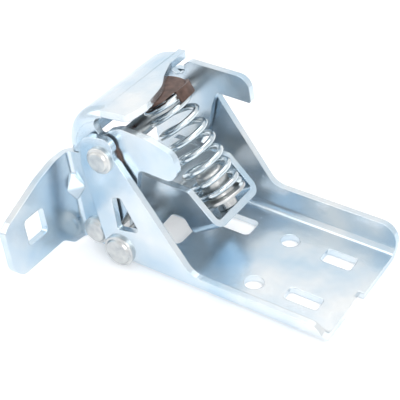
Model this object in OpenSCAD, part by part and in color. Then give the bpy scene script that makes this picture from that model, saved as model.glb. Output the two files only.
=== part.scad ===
// Spring-balanced lid hinge in zinc-plated steel, in millimetres.
// Origin: underside of the base, midway between its two round fixing holes.
// X runs along the base to its free end, Y across it, Z up. The lid bracket is shown
// fully open, with its stop pin on the rear edges of the base walls.

/* [Sheet] */
// Thickness of all pressed sheet
sheet = 2.5; // [2:0.1:3]
// Inside radius of the folds
fold_r = 2.9; // [1:0.1:4]

/* [Base] */
// Width over the two walls
base_w = 54; // [52:0.5:60]
// Length of the base
base_len = 84.9; // [83.2:0.1:96]
// Distance by which the near half is shorter
near_short = 1.1; // [0:0.1:2]
// Height of the low near flange
near_flange_h = 7.2; // [6.5:0.1:10]
// Height of the low far flange
far_flange_h = 12.6; // [10:0.1:16]
// Angle of the sloping wall edges
slope = 51; // [48:1:54]
// Distance that the far sloping edge stands further forward
far_shift = 7; // [0:0.5:9]
// Diameter of the round fixing holes
screw_hole_d = 6.8; // [5:0.1:8]
// Distance of the round holes from the hinge end
screw_hole_x = 51.5; // [48:0.1:54]
// Spacing of the round holes across the base
screw_hole_gap = 25.5; // [22:0.1:28]
// Distance of their midpoint from the middle of the base
screw_hole_shift = 1.35; // [0:0.05:2]

/* [Lid bracket] */
// Gap between a wall and the bracket cheek beside it
cheek_gap = 0.8; // [0.7:0.1:1.2]
// Outside radius of the hood about the main pivot
hood_r = 16.2; // [15.5:0.1:17]
// Rise of the tongue that covers the spring
tongue_rise = 8; // [4:1:10]
// Length of the tongue on its near side
tongue_len = 10.4; // [9:0.1:11]
// Length of the mounting ear out from the cheek
ear_len = 36; // [32:0.5:40]
// Lean of the mounting ear
ear_lean = 9; // [6:1:11]
// Side of the square hole in the ear
ear_hole = 9.5; // [8:0.1:10.5]

/* [Pins] */
// Height of the main pivot above the underside
pivot_z = 40.8; // [40:0.1:42]
// Distance of the main pivot from the hinge end
pivot_x = 1; // [0:0.1:2]
// Diameter of the main pivot pin
pivot_d = 6.5; // [5:0.1:7]
// Diameter of the main pivot head
pivot_head_d = 9.4; // [8:0.1:11]
// Height of the lower pin above the underside
lower_z = 6.3; // [6.2:0.1:7]
// Distance of the lower pin from the hinge end
lower_x = 7; // [6.8:0.1:8]
// Diameter of the lower pin
lower_d = 5.5; // [4.5:0.1:5.8]
// Outside diameter of the spacers on the lower pin
spacer_d = 7.2; // [6.6:0.1:7.3]
// Diameter of the lower pin head
lower_head_d = 11.5; // [9:0.1:12]
// Height of the stop pin above the underside
stop_z = 8; // [7.8:0.1:9]
// Distance of the stop pin behind the hinge end
stop_back = 4.5; // [4.3:0.1:5]
// Diameter of the stop pin
stop_d = 6; // [5:0.1:6.5]
// Diameter of the stop pin head
stop_head_d = 10; // [9:0.1:10.4]
// Outside diameter of the sleeve on the stop pin
sleeve_d = 10; // [8:0.2:10.4]
// Outside diameter of the friction washers
washer_d = 13; // [11:0.5:13.5]
// Height of the pin heads
head_h = 2.2; // [1.6:0.1:2.3]
// Running clearance of a pin in its hole, on the radius
pin_fit = 0.05; // [0.02:0.01:0.1]

/* [Spring] */
// Outside diameter of the spring
spring_d = 17.2; // [16:0.1:17.6]
// Diameter of the spring wire
wire_d = 2.2; // [1.8:0.1:2.4]
// Number of turns
turns = 8; // [7:0.5:9]
// Length of the spring at rest
spring_len = 38.2; // [36:0.1:39]
// Angle of the spring below the horizontal
spring_slope = 54; // [53:0.5:55]
// Diameter of the spigot inside the lower end
spigot_d = 10; // [8:0.2:11]
// Length of the spigot
spigot_len = 10; // [6:0.5:12]

/* [Cradle] */
// Width over the cradle cheeks
cradle_w = 27; // [26:0.5:29]

/* [Hidden] */
$fn = 48;
eps = 0.01;
touch = 0.05;
zinc = [0.80, 0.85, 0.89];
bright = [0.90, 0.91, 0.92];
brown = [0.42, 0.27, 0.18];

near_len = base_len - near_short;
half_w = base_w / 2;
wall_in = half_w - sheet;
cheek_out = wall_in - cheek_gap;
cheek_in = cheek_out - sheet;
fold_out = fold_r + sheet;
pivot = [pivot_x, pivot_z];
lower = [lower_x, lower_z];
stop = [-stop_back, stop_z];
hood_in = hood_r - sheet;

// Unit vectors along the spring, from its top end down, and square to it
along = [cos(spring_slope), -sin(spring_slope)];
across = [sin(spring_slope), cos(spring_slope)];
spring_top = pivot + [6.8, 11.8];
spring_foot = spring_top + spring_len * along;
seat_disc_h = 5;

// An outline from corner points, each [x, y, radius], with its corners rounded
function corner_arc(a, b, c, r) =
    let (u = (a - b) / norm(a - b), v = (c - b) / norm(c - b),
         half = acos(max(-1, min(1, u * v))) / 2,
         reach = r / tan(half),
         mid = b + (u + v) / norm(u + v) * r / sin(half),
         from = b + u * reach - mid,
         to = b + v * reach - mid,
         start = atan2(from[1], from[0]),
         sweep = ((atan2(to[1], to[0]) - start + 540) % 360) - 180,
         steps = max(2, ceil(abs(sweep) / 12)))
    [for (i = [0 : steps]) mid + r * [cos(start + sweep * i / steps), sin(start + sweep * i / steps)]];
function rounded(corners) =
    let (n = len(corners), at = [for (c = corners) [c[0], c[1]]])
    [for (i = [0 : n - 1])
        for (p = corners[i][2] > 0
             ? corner_arc(at[(i + n - 1) % n], at[i], at[(i + 1) % n], corners[i][2])
             : [at[i]]) p];

// From the hinge end and mid width, where all is drawn, to the origin
module in_frame() {
    translate([-screw_hole_x, screw_hole_shift, 0]) children();
}

// A side outline, drawn in X and Z, made a plate between two places across the base
module side_plate(y_low, y_high) {
    translate([0, y_high, 0]) rotate([90, 0, 0]) linear_extrude(y_high - y_low) children();
}

// A pin or tube along Y, at a place in X and Z
module cross_rod(place, y_low, y_high, d) {
    translate([place[0], y_high, place[1]]) rotate([90, 0, 0]) cylinder(h = y_high - y_low, d = d);
}

// A headed pin along Y with a stepped head at each end
module headed_pin(place, d, head_d, y_head) {
    cross_rod(place, -y_head - eps, y_head + eps, d);
    for (side = [-1, 1])
        translate([place[0], side * y_head, place[1]]) rotate([-90 * side, 0, 0])
            rotate_extrude() polygon(rounded([
                [0, 0, 0], [head_d / 2, 0, 0], [head_d / 2, head_h * 0.55, 0.5],
                [head_d / 2 - 0.9, head_h * 0.6, 0.15], [head_d / 2 - 1.4, head_h, 0.5], [0, head_h, 0]]));
}

/* Base channel */
wall_top_z = 49.9;
shoulder_z = 43.5;
slope_end_x = 40.8;
window_low_z = 14.5;
beyond = 1;
rear_reach = 10;
end_notch_depth = 1.2;
end_notch_w = 3;

module base_section() {
    for (side = [-1, 1]) {
        translate([side == 1 ? wall_in : -half_w, fold_out]) square([sheet, wall_top_z + beyond - fold_out]);
        intersection() {
            translate([side * (half_w - fold_out), fold_out]) difference() {
                circle(fold_out);
                circle(fold_r);
            }
            translate([side == 1 ? half_w - fold_out : -half_w, 0]) square([fold_out, fold_out]);
        }
    }
    translate([-half_w + fold_out, 0]) square([base_w - 2 * fold_out, sheet]);
}

// Outline of one wall: sloping edge moved forward by shift, low flange of height low_h
module wall_outline(shift, low_h, length) {
    foot_x = slope_end_x + shift - low_h / tan(slope);
    shoulder_x = slope_end_x + shift - shoulder_z / tan(slope);
    polygon(rounded([
        [0.3, -beyond, 0], [length, -beyond, 0], [length, low_h, 6.5], [foot_x, low_h, 7],
        [shoulder_x, shoulder_z, 4], [shoulder_x + 0.6, wall_top_z, 3.5], [-6.8, wall_top_z - 2.4, 5],
        [-7, 36, 4], [-1.5, 17, 8], [1.1, 8.2, 5]]));
}

// A rectangle from one corner to the other, with rounded corners
module round_cut(x_low, y_low, x_high, y_high, r) {
    polygon(rounded([[x_low, y_low, r], [x_high, y_low, r], [x_high, y_high, r], [x_low, y_high, r]]));
}

module base_cutouts() {
    for (side = [-1, 1])
        translate([screw_hole_x, side * screw_hole_gap / 2 - screw_hole_shift, -beyond])
            cylinder(h = sheet + 2 * beyond, d = screw_hole_d);
    translate([0, 0, -beyond]) linear_extrude(sheet + 2 * beyond) {
        round_cut(near_len - 20.9, -15.7, near_len - 8.5, -9.5, 1.2);
        round_cut(base_len - 20.4, 7.6, base_len - 8.9, 14.6, 1.2);
        round_cut(25.9, 6, 37.7, 15, 2);
        round_cut(-rear_reach, -11.2, 20, 5, 3);
    }
    translate([near_len - end_notch_depth, -end_notch_w, -beyond])
        cube([end_notch_depth + beyond, end_notch_w, sheet + 2 * beyond]);
}

module base_channel() color(zinc) in_frame() {
    difference() {
        intersection() {
            translate([-rear_reach, 0, 0]) rotate([90, 0, 90])
                linear_extrude(base_len + rear_reach) base_section();
            union() {
                side_plate(-half_w - beyond, 0) wall_outline(0, near_flange_h, near_len);
                side_plate(0, half_w + beyond) wall_outline(far_shift, far_flange_h, base_len);
            }
        }
        base_cutouts();
        side_plate(-half_w - beyond, half_w + beyond) polygon(rounded([
            [4.4, 27.6, 2], [8.2, 28, 1], [15.4, window_low_z + 2, 1.6], [6.4, window_low_z, 1.2]]));
        for (side = [-1, 1]) {
            side_plate(side == 1 ? rear_reach : -half_w - beyond,
                       side == 1 ? half_w + beyond : -rear_reach) {
                translate(pivot) circle(d = pivot_d);
                translate(lower) circle(d = lower_d);
            }
        }
    }
}

/* Lid bracket */
ear_fold = 1.8;
ear_top = [-14.7, 36];
ear_depth = 40;
ear_hole_at = [-45.9, -15.4];
hood_fold = 1.6;
hood_fold_out = hood_fold + sheet;
leg_low_r = 10.4;
cheek_arc_r = 11.8;
hood_rear = 194;
hood_front = 96;
hood_notch = pivot + [-1.4, 10.4];
hood_notch_d = 5.8;
top_in = pivot_z + hood_in;

// Lower part of both cheeks: from the hood's rear down round the stop pin and up to the front
function cheek_foot() = [
    [-11.8, 36.5, 0], [-7.2, 2.4, 4], [-0.9, 2.4, 2.5], [0.9, 6, 1.5], [2.4, 9.2, 3],
    [7.2, 18.4, 0], [12.5, 31, 6]];
// Notch beside the hood, then an arc just inside the hood's fold, back to its rear
function cheek_back() = concat([[-1.4, 5.8, 1.2], [-3.9, 8.7, 1]],
    [for (a = [108 : 12.5 : 195.5]) [cheek_arc_r * cos(a), cheek_arc_r * sin(a), 0]]);
function from_pivot(corners) = [for (c = corners) [pivot_x + c[0], pivot_z + c[1], c[2]]];

module cheek_outline(lobe) {
    difference() {
        polygon(rounded(concat(cheek_foot(), from_pivot(lobe), from_pivot(cheek_back()))));
        translate(pivot) circle(d = pivot_d + 2 * pin_fit);
        translate(stop) circle(d = stop_d);
    }
}

// Tops of the cheeks, measured from the main pivot
near_lobe = [[12.4, -1.2, 2.5], [24.8, -1.6, 3.6], [27.4, 2.6, 3.5], [25.4, 8.8, 5], [16, 11.4, 12],
             [5.8, 12, 5], [-0.2, 8.8, 1]];
far_hook = [[12.6, -1.2, 2], [14.4, 4.7, 1], [28.1, 4.7, 1], [26.4, 13.8, 5], [3, 13.5, 3], [-0.2, 10.2, 1]];

module hood_section() {
    translate([hood_in, -cheek_out + hood_fold_out]) square([sheet, 2 * (cheek_out - hood_fold_out)]);
    for (side = [-1, 1]) {
        translate([leg_low_r, side == 1 ? cheek_in + touch : -cheek_out + touch])
            square([hood_r - hood_fold_out - leg_low_r + touch, sheet - 2 * touch]);
        intersection() {
            translate([hood_r - hood_fold_out, side * (cheek_out - hood_fold_out)]) difference() {
                circle(hood_fold_out);
                circle(hood_fold);
            }
            translate([hood_r - hood_fold_out, side == 1 ? cheek_out - hood_fold_out : -cheek_out])
                square([hood_fold_out, hood_fold_out]);
        }
    }
}

module hood() {
    translate([pivot_x, 0, pivot_z]) rotate([90, 0, 0])
        rotate([0, 0, hood_front]) rotate_extrude(angle = hood_rear - hood_front) hood_section();
}

// Tongue over the spring's rear, its front edge drawn back on the far side
module tongue() {
    half = cheek_out - 0.6;
    translate([pivot_x, 0, top_in]) rotate([0, -tongue_rise, 0]) linear_extrude(sheet) polygon(rounded([
        [-3.2, 5 - half, 0], [-1.75, 5 - half, 0], [-1.75, -half, 0], [tongue_len - 1.4, -half, 2],
        [tongue_len, -14, 14], [tongue_len - 2.2, -2, 14], [4.6, 4.5, 8], [1.4, 13, 5], [1.4, half, 1],
        [-1.75, half, 0], [-1.75, half - 5, 0], [-3.2, half - 5, 0]]));
}

module ear_section() {
    translate([-sheet, -cheek_out - ear_len - beyond]) square([sheet, ear_len + beyond - ear_fold]);
    intersection() {
        translate([ear_fold, -cheek_out - ear_fold]) difference() {
            circle(ear_fold + sheet);
            circle(ear_fold);
        }
        translate([-sheet, -cheek_out - ear_fold]) square([ear_fold + sheet, ear_fold + sheet]);
    }
    translate([ear_fold, -cheek_out]) square([4.5 - ear_fold, sheet]);
}

// Outline of the ear and its fold: Y across, then height above the top of the fold
module ear_outline() {
    end = -cheek_out - ear_len;
    difference() {
        polygon(rounded([
            [-cheek_in + 1, 0.8, 0], [-31, 0.8, 8], [-40, -1.4, 14], [end + 3.4, -7.6, 2.5], [end, -9.6, 2.5],
            [end, -24.2, 5], [end + 3.6, -28, 3.5], [-35, -28, 3.5], [-30, -32, 3.5], [-cheek_in + 1, -33.4, 0]]));
        translate(ear_hole_at)
            round_cut(-ear_hole / 2, -ear_hole / 2, ear_hole / 2, ear_hole / 2, 1.4);
    }
}

module ear() {
    translate([ear_top[0], 0, ear_top[1]]) rotate([0, -ear_lean, 0]) {
        intersection() {
            translate([0, 0, -ear_depth]) linear_extrude(ear_depth + 2 * beyond) ear_section();
            translate([-rear_reach, 0, 0]) rotate([90, 0, 90]) linear_extrude(2 * rear_reach) ear_outline();
        }
        // Dart pressed into the fold to stiffen the ear
        hull() {
            translate([-0.5, -cheek_out - 4.4, -12.6]) cube([0.6, 4.6, 0.6]);
            translate([3.6, -cheek_out - 0.2, -12.6]) cube([0.6, 0.3, 0.6]);
            translate([-0.5, -cheek_out - 1.2, -17.6]) cube([1, 1.3, 10.4]);
        }
    }
}

module lid_bracket() color(zinc) in_frame() difference() {
    union() {
        side_plate(-cheek_out, -cheek_in) cheek_outline(near_lobe);
        side_plate(cheek_in, cheek_out) cheek_outline(far_hook);
        hood();
        tongue();
        ear();
    }
    cross_rod(hood_notch, -half_w, half_w, hood_notch_d);
}

/* Cradle */
cradle_fold = 1.5;
cradle_fold_out = cradle_fold + sheet;
cradle_in = cradle_w / 2 - sheet;
web_low = spring_foot + (touch + seat_disc_h + sheet) * along;
web_rear = 7.5;
web_front = 4.2;
cradle_reach = 45;

module cradle_section() {
    for (side = [-1, 1]) {
        translate([side == 1 ? cradle_in : -cradle_w / 2, cradle_fold_out]) square([sheet, cradle_reach]);
        intersection() {
            translate([side * (cradle_w / 2 - cradle_fold_out), cradle_fold_out]) difference() {
                circle(cradle_fold_out);
                circle(cradle_fold);
            }
            translate([side == 1 ? cradle_w / 2 - cradle_fold_out : -cradle_w / 2, 0])
                square([cradle_fold_out, cradle_fold_out]);
        }
    }
    translate([-cradle_w / 2 + cradle_fold_out, 0]) square([cradle_w - 2 * cradle_fold_out, sheet]);
}

// Side outline: foot on the base web, top edge under the hood, nose round the web
module cradle_outline() {
    nose = web_low + beyond * along;
    front = nose + web_front * across;
    rear = nose - web_rear * across;
    difference() {
        polygon(rounded([
            [1.3, sheet + touch, 1], [2.6, web_low[1] + 13.6, 3], [web_low[0] - 9.1, web_low[1] + 13.3, 2],
            [front[0], front[1], 0], [rear[0], rear[1], 0], [web_low[0] - 10.7, web_low[1] + 2.3, 2],
            [web_low[0] - 15.1, web_low[1] + 2.3, 2.5], [9.6, sheet + touch, 1]]));
        translate(lower) circle(d = lower_d + 2 * pin_fit);
    }
}

module spring_cradle() color(zinc) in_frame() intersection() {
    translate([web_low[0], 0, web_low[1]]) rotate([0, spring_slope - 90, 0]) rotate([90, 0, 0])
        rotate([0, 90, 0]) translate([0, 0, -cradle_reach]) linear_extrude(2 * cradle_reach) cradle_section();
    side_plate(-cradle_w / 2 - beyond, cradle_w / 2 + beyond) cradle_outline();
}

/* Pins, washers and spacers */
module pivot_pin() color(bright) in_frame() headed_pin(pivot, pivot_d, pivot_head_d, half_w);
module lower_pin() color(bright) in_frame() headed_pin(lower, lower_d, lower_head_d, half_w);
module stop_pin() color(bright) in_frame() headed_pin(stop, stop_d, stop_head_d, cheek_out);

module tube(place, y_low, y_high, outer, bore) {
    difference() {
        cross_rod(place, y_low, y_high, outer);
        cross_rod(place, y_low - beyond, y_high + beyond, bore);
    }
}
module pivot_washer_near() color(brown) in_frame()
    tube(pivot, -wall_in + touch, -cheek_out - touch, washer_d, pivot_d + 2 * pin_fit);
module pivot_washer_far() color(brown) in_frame()
    tube(pivot, cheek_out + touch, wall_in - touch, washer_d, pivot_d + 2 * pin_fit);
// The spacers are stopped where their lower edge meets the curve of the folds
spacer_drop = fold_out - lower_z + spacer_d / 2;
spacer_end = half_w - fold_out + sqrt(max(0, fold_r * fold_r - spacer_drop * spacer_drop)) - touch;
module lower_spacer_near() color(bright) in_frame()
    tube(lower, -spacer_end, -cradle_w / 2 - touch, spacer_d, lower_d + 2 * pin_fit);
module lower_spacer_far() color(bright) in_frame()
    tube(lower, cradle_w / 2 + touch, spacer_end, spacer_d, lower_d + 2 * pin_fit);
module stop_sleeve() color(bright) in_frame()
    tube(stop, -cheek_in + touch, cheek_in - touch, sleeve_d, stop_d + 2 * pin_fit);

/* Spring and its seats */
wire_sides = 8;
wire_end = 45;
turn_steps = 24;
closed_turns = 1;
flange_h = 1.2;
seat_stem_d = 7;
lip_in = spring_d / 2 + 0.2;
lip_wall = 1.2;
lip_h = 3.3;
lip_sweep = 130;
saddle_h = 16;
wire_gap = 0.06;
coil_r = (spring_d - wire_d) / 2;
coil_h = spring_len - wire_d - 2 * touch;
close_pitch = wire_d + wire_gap;
open_pitch = (coil_h - 2 * closed_turns * close_pitch) / (turns - 2 * closed_turns);
function coil_z(t) = t < closed_turns ? t * close_pitch
    : t > turns - closed_turns ? coil_h - (turns - t) * close_pitch
    : closed_turns * close_pitch + (t - closed_turns) * open_pitch;

module at_spring_foot() {
    translate([spring_foot[0], 0, spring_foot[1]]) rotate([0, spring_slope - 90, 0]) children();
}

module spring() color(bright) in_frame() at_spring_foot() rotate(wire_end) {
    steps = turns * turn_steps;
    rings = [for (i = [0 : steps]) let (t = i / turn_steps, a = 360 * t)
        [for (k = [0 : wire_sides - 1]) let (b = 360 * (k + 0.5) / wire_sides, r = coil_r + wire_d / 2 * cos(b))
            [r * cos(a), r * sin(a), touch + wire_d / 2 + coil_z(t) + wire_d / 2 * sin(b)]]];
    quads = [for (i = [0 : steps - 1], k = [0 : wire_sides - 1]) let (next = (k + 1) % wire_sides)
        for (tri = [[i * wire_sides + k, (i + 1) * wire_sides + k, (i + 1) * wire_sides + next],
                    [i * wire_sides + k, (i + 1) * wire_sides + next, i * wire_sides + next]]) tri];
    polyhedron([for (ring = rings, p = ring) p],
        concat([[for (k = [0 : wire_sides - 1]) k]], quads,
               [[for (k = [wire_sides - 1 : -1 : 0]) steps * wire_sides + k]]));
}

// Lower seat: a thin flange on a short stem, with the spigot that keeps the coil in place
module lower_seat() color(bright) in_frame() at_spring_foot() rotate_extrude() polygon(rounded([
    [0, -seat_disc_h, 0], [seat_stem_d / 2, -seat_disc_h, 0.4], [seat_stem_d / 2, -flange_h, 0.4],
    [spring_d / 2 + 0.2, -flange_h, 0.4], [spring_d / 2 + 0.2, 0, 0.4],
    [spigot_d / 2, 0, 0.4], [spigot_d / 2, spigot_len, 2.4], [0, spigot_len, 0]]));

// Upper seat: a saddle shaped to the hood, with a lip round the far side of the coil
module upper_seat() color(brown) in_frame() {
    intersection() {
        at_spring_foot() translate([0, 0, spring_len]) cylinder(h = saddle_h, r = lip_in + lip_wall / 2);
        side_plate(-cheek_in, cheek_in) {
            translate(pivot) circle(hood_in - 6 * touch);
            translate([pivot_x, top_in - touch]) rotate(tongue_rise)
                polygon([[0, -saddle_h], [saddle_h, -saddle_h], [saddle_h, 0], [0, -6 * touch]]);
        }
    }
    at_spring_foot() rotate(wire_end - lip_sweep / 2) rotate_extrude(angle = lip_sweep)
        translate([lip_in, spring_len - lip_h]) square([lip_wall, lip_h + 0.6]);
}

base_channel();
lid_bracket();
spring_cradle();
pivot_pin();
pivot_washer_near();
pivot_washer_far();
lower_pin();
lower_spacer_near();
lower_spacer_far();
stop_pin();
stop_sleeve();
spring();
lower_seat();
upper_seat();
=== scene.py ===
import math

import bmesh
import bpy
from mathutils import Matrix, Vector


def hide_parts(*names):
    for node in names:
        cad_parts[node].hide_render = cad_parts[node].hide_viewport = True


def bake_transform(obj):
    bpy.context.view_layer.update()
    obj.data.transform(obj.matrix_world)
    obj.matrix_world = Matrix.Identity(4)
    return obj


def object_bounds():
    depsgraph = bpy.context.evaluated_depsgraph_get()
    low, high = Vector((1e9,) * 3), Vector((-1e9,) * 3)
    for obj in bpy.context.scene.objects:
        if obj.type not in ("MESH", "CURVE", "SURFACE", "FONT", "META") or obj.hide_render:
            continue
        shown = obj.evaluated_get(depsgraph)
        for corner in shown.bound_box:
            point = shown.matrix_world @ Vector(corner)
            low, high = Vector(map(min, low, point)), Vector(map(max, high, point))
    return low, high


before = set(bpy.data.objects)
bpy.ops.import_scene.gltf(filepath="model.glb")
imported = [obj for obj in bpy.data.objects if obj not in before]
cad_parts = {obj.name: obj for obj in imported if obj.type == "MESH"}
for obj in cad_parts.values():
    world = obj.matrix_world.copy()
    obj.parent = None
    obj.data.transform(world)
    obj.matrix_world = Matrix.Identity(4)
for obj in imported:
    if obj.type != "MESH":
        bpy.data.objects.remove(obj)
cad_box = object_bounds()
scene = bpy.context.scene

# Base channel, lid bracket and spring cradle: 2.5 mm steel sheet, punched and folded in
# a press, then plated with bright zinc. The CAD solids have the final form, so they
# only take the plated finish.
SHEET_PIECES = ("base_channel", "lid_bracket", "spring_cradle")
CLOUD_MM = 22
GRAIN_MM = 0.4
GRAIN_ALONG = 0.06
SPECK_MM = 1.6
EDGE_ROUND = 0.00035


def srgb(code):
    """Linear colour from a hex code."""
    parts = [int(code[i:i + 2], 16) / 255 for i in (1, 3, 5)]
    return tuple(c / 12.92 if c <= 0.04045 else ((c + 0.055) / 1.055) ** 2.4 for c in parts) + (1.0,)


def add(tree, kind, settings=None, links=None):
    """Adds one node: settings by attribute or socket name, links by socket name or number."""
    node = tree.nodes.new(kind)
    for name, value in (settings or {}).items():
        if hasattr(node, name):
            setattr(node, name, value)
        else:
            node.inputs[name].default_value = value
    for socket, source in (links or {}).items():
        tree.links.new(source, node.inputs[socket])
    return node


def new_material(name):
    """A material without nodes, and its node tree."""
    mat = bpy.data.materials.new(name)
    mat.use_nodes = True
    mat.node_tree.nodes.clear()
    return mat, mat.node_tree


def wear(obj, mat):
    """Gives a piece one material on all its faces."""
    obj.data.materials.clear()
    obj.data.materials.append(mat)


# Bright zinc on rolled steel: a cool pale grey metal, softly clouded where the plating
# is thicker or thinner. Its rolling lines along x are finer than a pixel, so they are
# drawn 0.4 mm apart, and with a speckle of 1.6 mm they blur the reflections a little.
zinc, tree = new_material("bright_zinc_plate")
place = add(tree, "ShaderNodeTexCoord")
cloud = add(tree, "ShaderNodeTexNoise", {"Scale": 1000 / CLOUD_MM, "Detail": 3.0, "Roughness": 0.55},
            {"Vector": place.outputs["Object"]})
tone = add(tree, "ShaderNodeValToRGB", links={"Fac": cloud.outputs["Fac"]})
for stop, at, code in zip(tone.color_ramp.elements, (0.3, 0.7), ("#BBD2E3", "#E6EAEC")):
    stop.position = at
    stop.color = srgb(code)
stretch = add(tree, "ShaderNodeMapping", {"Scale": (GRAIN_ALONG, 1.0, 1.0)},
              {"Vector": place.outputs["Object"]})
grain = add(tree, "ShaderNodeTexNoise", {"Scale": 1000 / GRAIN_MM, "Detail": 2.0},
            {"Vector": stretch.outputs["Vector"]})
speck = add(tree, "ShaderNodeTexNoise", {"Scale": 1000 / SPECK_MM, "Detail": 4.0, "Roughness": 0.7},
            {"Vector": place.outputs["Object"]})
dull = add(tree, "ShaderNodeMapRange", {"From Min": 0.3, "From Max": 0.75, "To Min": 0.21, "To Max": 0.28},
           {"Value": speck.outputs["Fac"]})
relief = add(tree, "ShaderNodeMath", {"operation": "ADD"},
             {0: grain.outputs["Fac"], 1: speck.outputs["Fac"]})
# The cut edges are a little rounded by the press and the plating, so they catch the light.
rim = add(tree, "ShaderNodeBevel", {"samples": 6, "Radius": EDGE_ROUND})
bump = add(tree, "ShaderNodeBump", {"Strength": 0.05, "Distance": 0.00002},
           {"Height": relief.outputs["Value"], "Normal": rim.outputs["Normal"]})
surface = add(tree, "ShaderNodeBsdfPrincipled", {"Metallic": 0.92},
              {"Base Color": tone.outputs["Color"], "Roughness": dull.outputs["Result"],
               "Normal": bump.outputs["Normal"]})
add(tree, "ShaderNodeOutputMaterial", links={"Surface": surface.outputs["BSDF"]})
for name in SHEET_PIECES:
    wear(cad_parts[name], zinc)

# Pivot pin, lower pin and stop pin with their heads, the spacers and the sleeve on them,
# and the seat in the cradle: turned from steel bar and zinc plated. The pins are riveted
# at both ends.
TURNED_PIECES = ("pivot_pin", "lower_pin", "stop_pin", "stop_sleeve", "lower_spacer_near",
                 "lower_spacer_far", "lower_seat")
PATCH_MM = 3.5
PIT_MM = 0.7

# Zinc on turned steel is warmer and duller than on the sheet, in patches of a few
# millimetres, with a skin of shallow pits.
turned, tree = new_material("plated_turned_steel")
place = add(tree, "ShaderNodeTexCoord")
patch = add(tree, "ShaderNodeTexNoise", {"Scale": 1000 / PATCH_MM, "Detail": 3.0},
            {"Vector": place.outputs["Object"]})
tone = add(tree, "ShaderNodeValToRGB", links={"Fac": patch.outputs["Fac"]})
for stop, at, code in zip(tone.color_ramp.elements, (0.3, 0.7), ("#B9BCBE", "#DEDFDD")):
    stop.position = at
    stop.color = srgb(code)
dull = add(tree, "ShaderNodeMapRange", {"From Min": 0.3, "From Max": 0.7, "To Min": 0.26, "To Max": 0.42},
           {"Value": patch.outputs["Fac"]})
pits = add(tree, "ShaderNodeTexNoise", {"Scale": 1000 / PIT_MM, "Detail": 3.0},
           {"Vector": place.outputs["Object"]})
bump = add(tree, "ShaderNodeBump", {"Strength": 0.2, "Distance": 0.00003}, {"Height": pits.outputs["Fac"]})
surface = add(tree, "ShaderNodeBsdfPrincipled", {"Metallic": 1.0},
              {"Base Color": tone.outputs["Color"], "Roughness": dull.outputs["Result"],
               "Normal": bump.outputs["Normal"]})
add(tree, "ShaderNodeOutputMaterial", links={"Surface": surface.outputs["BSDF"]})
for name in TURNED_PIECES:
    wear(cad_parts[name], turned)

# Compression spring, coiled from 2.2 mm drawn steel wire and zinc plated, with a closed
# turn at each end.

# The sizes are in metres. LEAN is the angle of the axis from level, and WIRE_END is the
# place round the axis where the wire is cut.
WIRE = 0.0022
OUTSIDE = 0.0172
LENGTH = 0.0382
TURNS = 8
LEAN = math.radians(54)
SEAT_GAP = 0.00005
TURN_GAP = 0.00006
WIRE_END = math.radians(45)
SIDES = 14
STEPS = 40
MERGE = 0.00001
# part.scad measures from its own zero, and the frame's origin lies between the two
# fixing holes, so a point of the source moves by this much in x and y.
SHIFT_X = -0.0515
SHIFT_Y = 0.00135
TOP_X = 0.0078
TOP_Z = 0.0526

top = Vector((TOP_X + SHIFT_X, SHIFT_Y, TOP_Z))
down = Vector((math.cos(LEAN), 0, -math.sin(LEAN)))
foot = top + down * LENGTH
radius = (OUTSIDE - WIRE) / 2
rise = LENGTH - WIRE - 2 * SEAT_GAP
closed = WIRE + TURN_GAP
opened = (rise - 2 * closed) / (TURNS - 2)

# The wire's round section is spun upwards from the foot: one closed turn, the open turns
# and one closed turn. Then the coil is leant over and set on its foot.
coil = bmesh.new()
ring = bmesh.ops.create_circle(coil, cap_ends=False, radius=WIRE / 2, segments=SIDES)["verts"]
bmesh.ops.rotate(coil, verts=ring, cent=(0, 0, 0), matrix=Matrix.Rotation(math.pi / 2, 3, "X"))
bmesh.ops.translate(coil, verts=ring, vec=(radius, 0, WIRE / 2 + SEAT_GAP))
end = bmesh.ops.contextual_create(coil, geom=coil.edges[:])["faces"][0]
edge_loop = list(end.edges)
for turns, pitch in ((1, closed), (TURNS - 2, opened), (1, closed)):
    spun = bmesh.ops.spin(coil, geom=edge_loop, cent=(0, 0, 0), axis=(0, 0, 1), dvec=(0, 0, pitch / STEPS),
                          angle=2 * math.pi * turns, steps=STEPS * turns, use_merge=False,
                          use_duplicate=False)
    edge_loop = [g for g in spun["geom_last"] if isinstance(g, bmesh.types.BMEdge)]
bmesh.ops.contextual_create(coil, geom=edge_loop)
bmesh.ops.remove_doubles(coil, verts=coil.verts[:], dist=MERGE)
bmesh.ops.recalc_face_normals(coil, faces=coil.faces[:])
stand = (Matrix.Translation(foot) @ Matrix.Rotation(LEAN - math.pi / 2, 4, "Y")
         @ Matrix.Rotation(WIRE_END, 4, "Z"))
bmesh.ops.transform(coil, matrix=stand, verts=coil.verts[:])
# The wire shades as round, and its two cut ends stay flat.
for face in coil.faces:
    face.smooth = len(face.verts) == 4
mesh = bpy.data.meshes.new("spring_coil")
coil.to_mesh(mesh)
coil.free()
spring = bpy.data.objects.new("spring_coil", mesh)
scene.collection.objects.link(spring)

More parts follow.
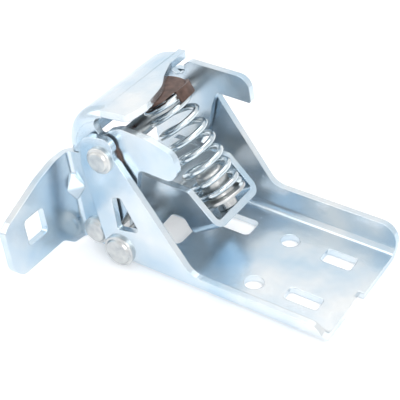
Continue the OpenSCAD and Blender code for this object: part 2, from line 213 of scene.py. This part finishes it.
# Plated drawn wire has the smoothest surface here, so its reflections are sharp. The
# faint scores of drawing are finer than a pixel, so they are drawn 0.5 mm across.
SHADE_MM = 5
SCORE_MM = 0.5
wire, tree = new_material("plated_spring_wire")
place = add(tree, "ShaderNodeTexCoord")
shade = add(tree, "ShaderNodeTexNoise", {"Scale": 1000 / SHADE_MM, "Detail": 3.0},
            {"Vector": place.outputs["Object"]})
tone = add(tree, "ShaderNodeValToRGB", links={"Fac": shade.outputs["Fac"]})
for stop, at, code in zip(tone.color_ramp.elements, (0.3, 0.7), ("#B8C6CF", "#E4EBEE")):
    stop.position = at
    stop.color = srgb(code)
dull = add(tree, "ShaderNodeMapRange", {"From Min": 0.3, "From Max": 0.7, "To Min": 0.12, "To Max": 0.24},
           {"Value": shade.outputs["Fac"]})
scores = add(tree, "ShaderNodeTexNoise", {"Scale": 1000 / SCORE_MM, "Detail": 2.0},
             {"Vector": place.outputs["Object"]})
bump = add(tree, "ShaderNodeBump", {"Strength": 0.1, "Distance": 0.00002}, {"Height": scores.outputs["Fac"]})
surface = add(tree, "ShaderNodeBsdfPrincipled", {"Metallic": 1.0},
              {"Base Color": tone.outputs["Color"], "Roughness": dull.outputs["Result"],
               "Normal": bump.outputs["Normal"]})
add(tree, "ShaderNodeOutputMaterial", links={"Surface": surface.outputs["BSDF"]})
wear(spring, wire)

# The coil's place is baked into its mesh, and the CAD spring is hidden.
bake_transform(spring)
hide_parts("spring")

# Friction washers on the main pivot, and the saddle under the hood that the spring
# pushes on: moulded from brown plastic. The pin holds the washers between the sheets,
# and the spring holds the saddle.
PLASTIC_PIECES = ("pivot_washer_near", "pivot_washer_far", "upper_seat")
MOTTLE_MM = 2.5

# The plastic has a dull skin, slightly mottled and uneven.
plastic, tree = new_material("brown_moulded_plastic")
place = add(tree, "ShaderNodeTexCoord")
mottle = add(tree, "ShaderNodeTexNoise", {"Scale": 1000 / MOTTLE_MM, "Detail": 4.0},
             {"Vector": place.outputs["Object"]})
tone = add(tree, "ShaderNodeValToRGB", links={"Fac": mottle.outputs["Fac"]})
for stop, at, code in zip(tone.color_ramp.elements, (0.3, 0.7), ("#46332C", "#6E554B")):
    stop.position = at
    stop.color = srgb(code)
bump = add(tree, "ShaderNodeBump", {"Strength": 0.4, "Distance": 0.00005}, {"Height": mottle.outputs["Fac"]})
surface = add(tree, "ShaderNodeBsdfPrincipled", {"Roughness": 0.48},
              {"Base Color": tone.outputs["Color"], "Normal": bump.outputs["Normal"]})
add(tree, "ShaderNodeOutputMaterial", links={"Surface": surface.outputs["BSDF"]})
for name in PLASTIC_PIECES:
    wear(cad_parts[name], plastic)

# The floor is white paper that lies just under the base. It shows white to the camera
# and in reflections, and still takes the hinge's shadow.
FLOOR_HALF = 3.0
FLOOR_GAP = 0.0002
PAPER_GLOW = 0.3
ground = bmesh.new()
bmesh.ops.create_grid(ground, x_segments=1, y_segments=1, size=FLOOR_HALF)
bmesh.ops.translate(ground, verts=ground.verts[:], vec=(0, 0, cad_box[0][2] - FLOOR_GAP))
floor_mesh = bpy.data.meshes.new("floor")
ground.to_mesh(floor_mesh)
ground.free()
floor = bpy.data.objects.new("floor", floor_mesh)
scene.collection.objects.link(floor)


def shown_to(tree):
    """1 for rays from the camera and for those that a glossy or clear surface sends on."""
    path = add(tree, "ShaderNodeLightPath")
    total = path.outputs["Is Camera Ray"]
    for kind in ("Is Glossy Ray", "Is Transmission Ray"):
        step = add(tree, "ShaderNodeMath", {"operation": "ADD", "use_clamp": True},
                   {0: total, 1: path.outputs[kind]})
        total = step.outputs["Value"]
    return total


paper, tree = new_material("white_floor")
matte = add(tree, "ShaderNodeBsdfPrincipled", {"Base Color": srgb("#F4F5F6"), "Roughness": 0.9})
glow = add(tree, "ShaderNodeEmission", {"Color": (1, 1, 1, 1), "Strength": PAPER_GLOW})
both = add(tree, "ShaderNodeAddShader", links={0: matte.outputs["BSDF"], 1: glow.outputs["Emission"]})
shown = add(tree, "ShaderNodeMixShader",
            links={0: shown_to(tree), 1: matte.outputs["BSDF"], 2: both.outputs["Shader"]})
add(tree, "ShaderNodeOutputMaterial", links={"Surface": shown.outputs["Shader"]})
wear(floor, paper)

# The room is white to the camera and in reflections. Its light on the hinge comes from a
# pale sky that is darker and bluer near the horizon.
HORIZON = (0.36, 0.42, 0.50, 1)
OVERHEAD = (0.95, 0.97, 1.0, 1)
SKY_LIGHT = 0.75
world = bpy.data.worlds.new("studio")
scene.world = world
world.use_nodes = True
tree = world.node_tree
tree.nodes.clear()
place = add(tree, "ShaderNodeTexCoord")
split = add(tree, "ShaderNodeSeparateXYZ", links={"Vector": place.outputs["Generated"]})
sky = add(tree, "ShaderNodeValToRGB", links={"Fac": split.outputs["Z"]})
for stop, at, colour in zip(sky.color_ramp.elements, (0.0, 0.75), (HORIZON, OVERHEAD)):
    stop.position = at
    stop.color = colour
light = add(tree, "ShaderNodeBackground", {"Strength": SKY_LIGHT}, {"Color": sky.outputs["Color"]})
white = add(tree, "ShaderNodeBackground", {"Color": (1, 1, 1, 1), "Strength": 1.0})
mix = add(tree, "ShaderNodeMixShader",
          links={0: shown_to(tree), 1: light.outputs["Background"], 2: white.outputs["Background"]})
add(tree, "ShaderNodeOutputWorld", links={"Surface": mix.outputs["Shader"]})

# Four soft lamps, a little warm, stand round the hinge and aim at its middle. Each has a
# name, a place, the side of its square in metres and a power in watts.
LAMP_COLOUR = (1.0, 0.97, 0.94)
AIM = Vector((-0.01, 0, 0.02))
LAMPS = (
    ("top_lamp", (-0.01, 0.17, 0.63), 0.5, 1.5),
    ("back_lamp", (-0.5, 0.46, 0.16), 0.4, 0.1),
    ("side_lamp", (-0.5, -0.35, 0.35), 0.35, 0.6),
    ("front_lamp", (0.4, -0.35, 0.45), 0.35, 1.3))
for name, spot, size, power in LAMPS:
    data = bpy.data.lights.new(name, "AREA")
    data.size = size
    data.energy = power
    data.color = LAMP_COLOUR
    lamp = bpy.data.objects.new(name, data)
    lamp.location = spot
    lamp.rotation_euler = (AIM - Vector(spot)).to_track_quat("-Z", "Y").to_euler()
    scene.collection.objects.link(lamp)

# The camera looks down on the near corner of the base's free end, as the photograph's
# does. Its place, aim and lens were fitted to the edges and holes of the base.
LENS_MM = 99.94
EYE = (0.1302, -0.25705, 0.2448)
LOOK = Vector((-0.420, 0.679, -0.602))
camera = bpy.data.objects.new("camera", bpy.data.cameras.new("camera"))
camera.data.sensor_width = 36
camera.data.sensor_fit = "HORIZONTAL"
camera.data.lens = LENS_MM
camera.location = EYE
camera.rotation_euler = LOOK.to_track_quat("-Z", "Y").to_euler()
scene.collection.objects.link(camera)
scene.camera = camera
scene.view_settings.view_transform = "Standard"
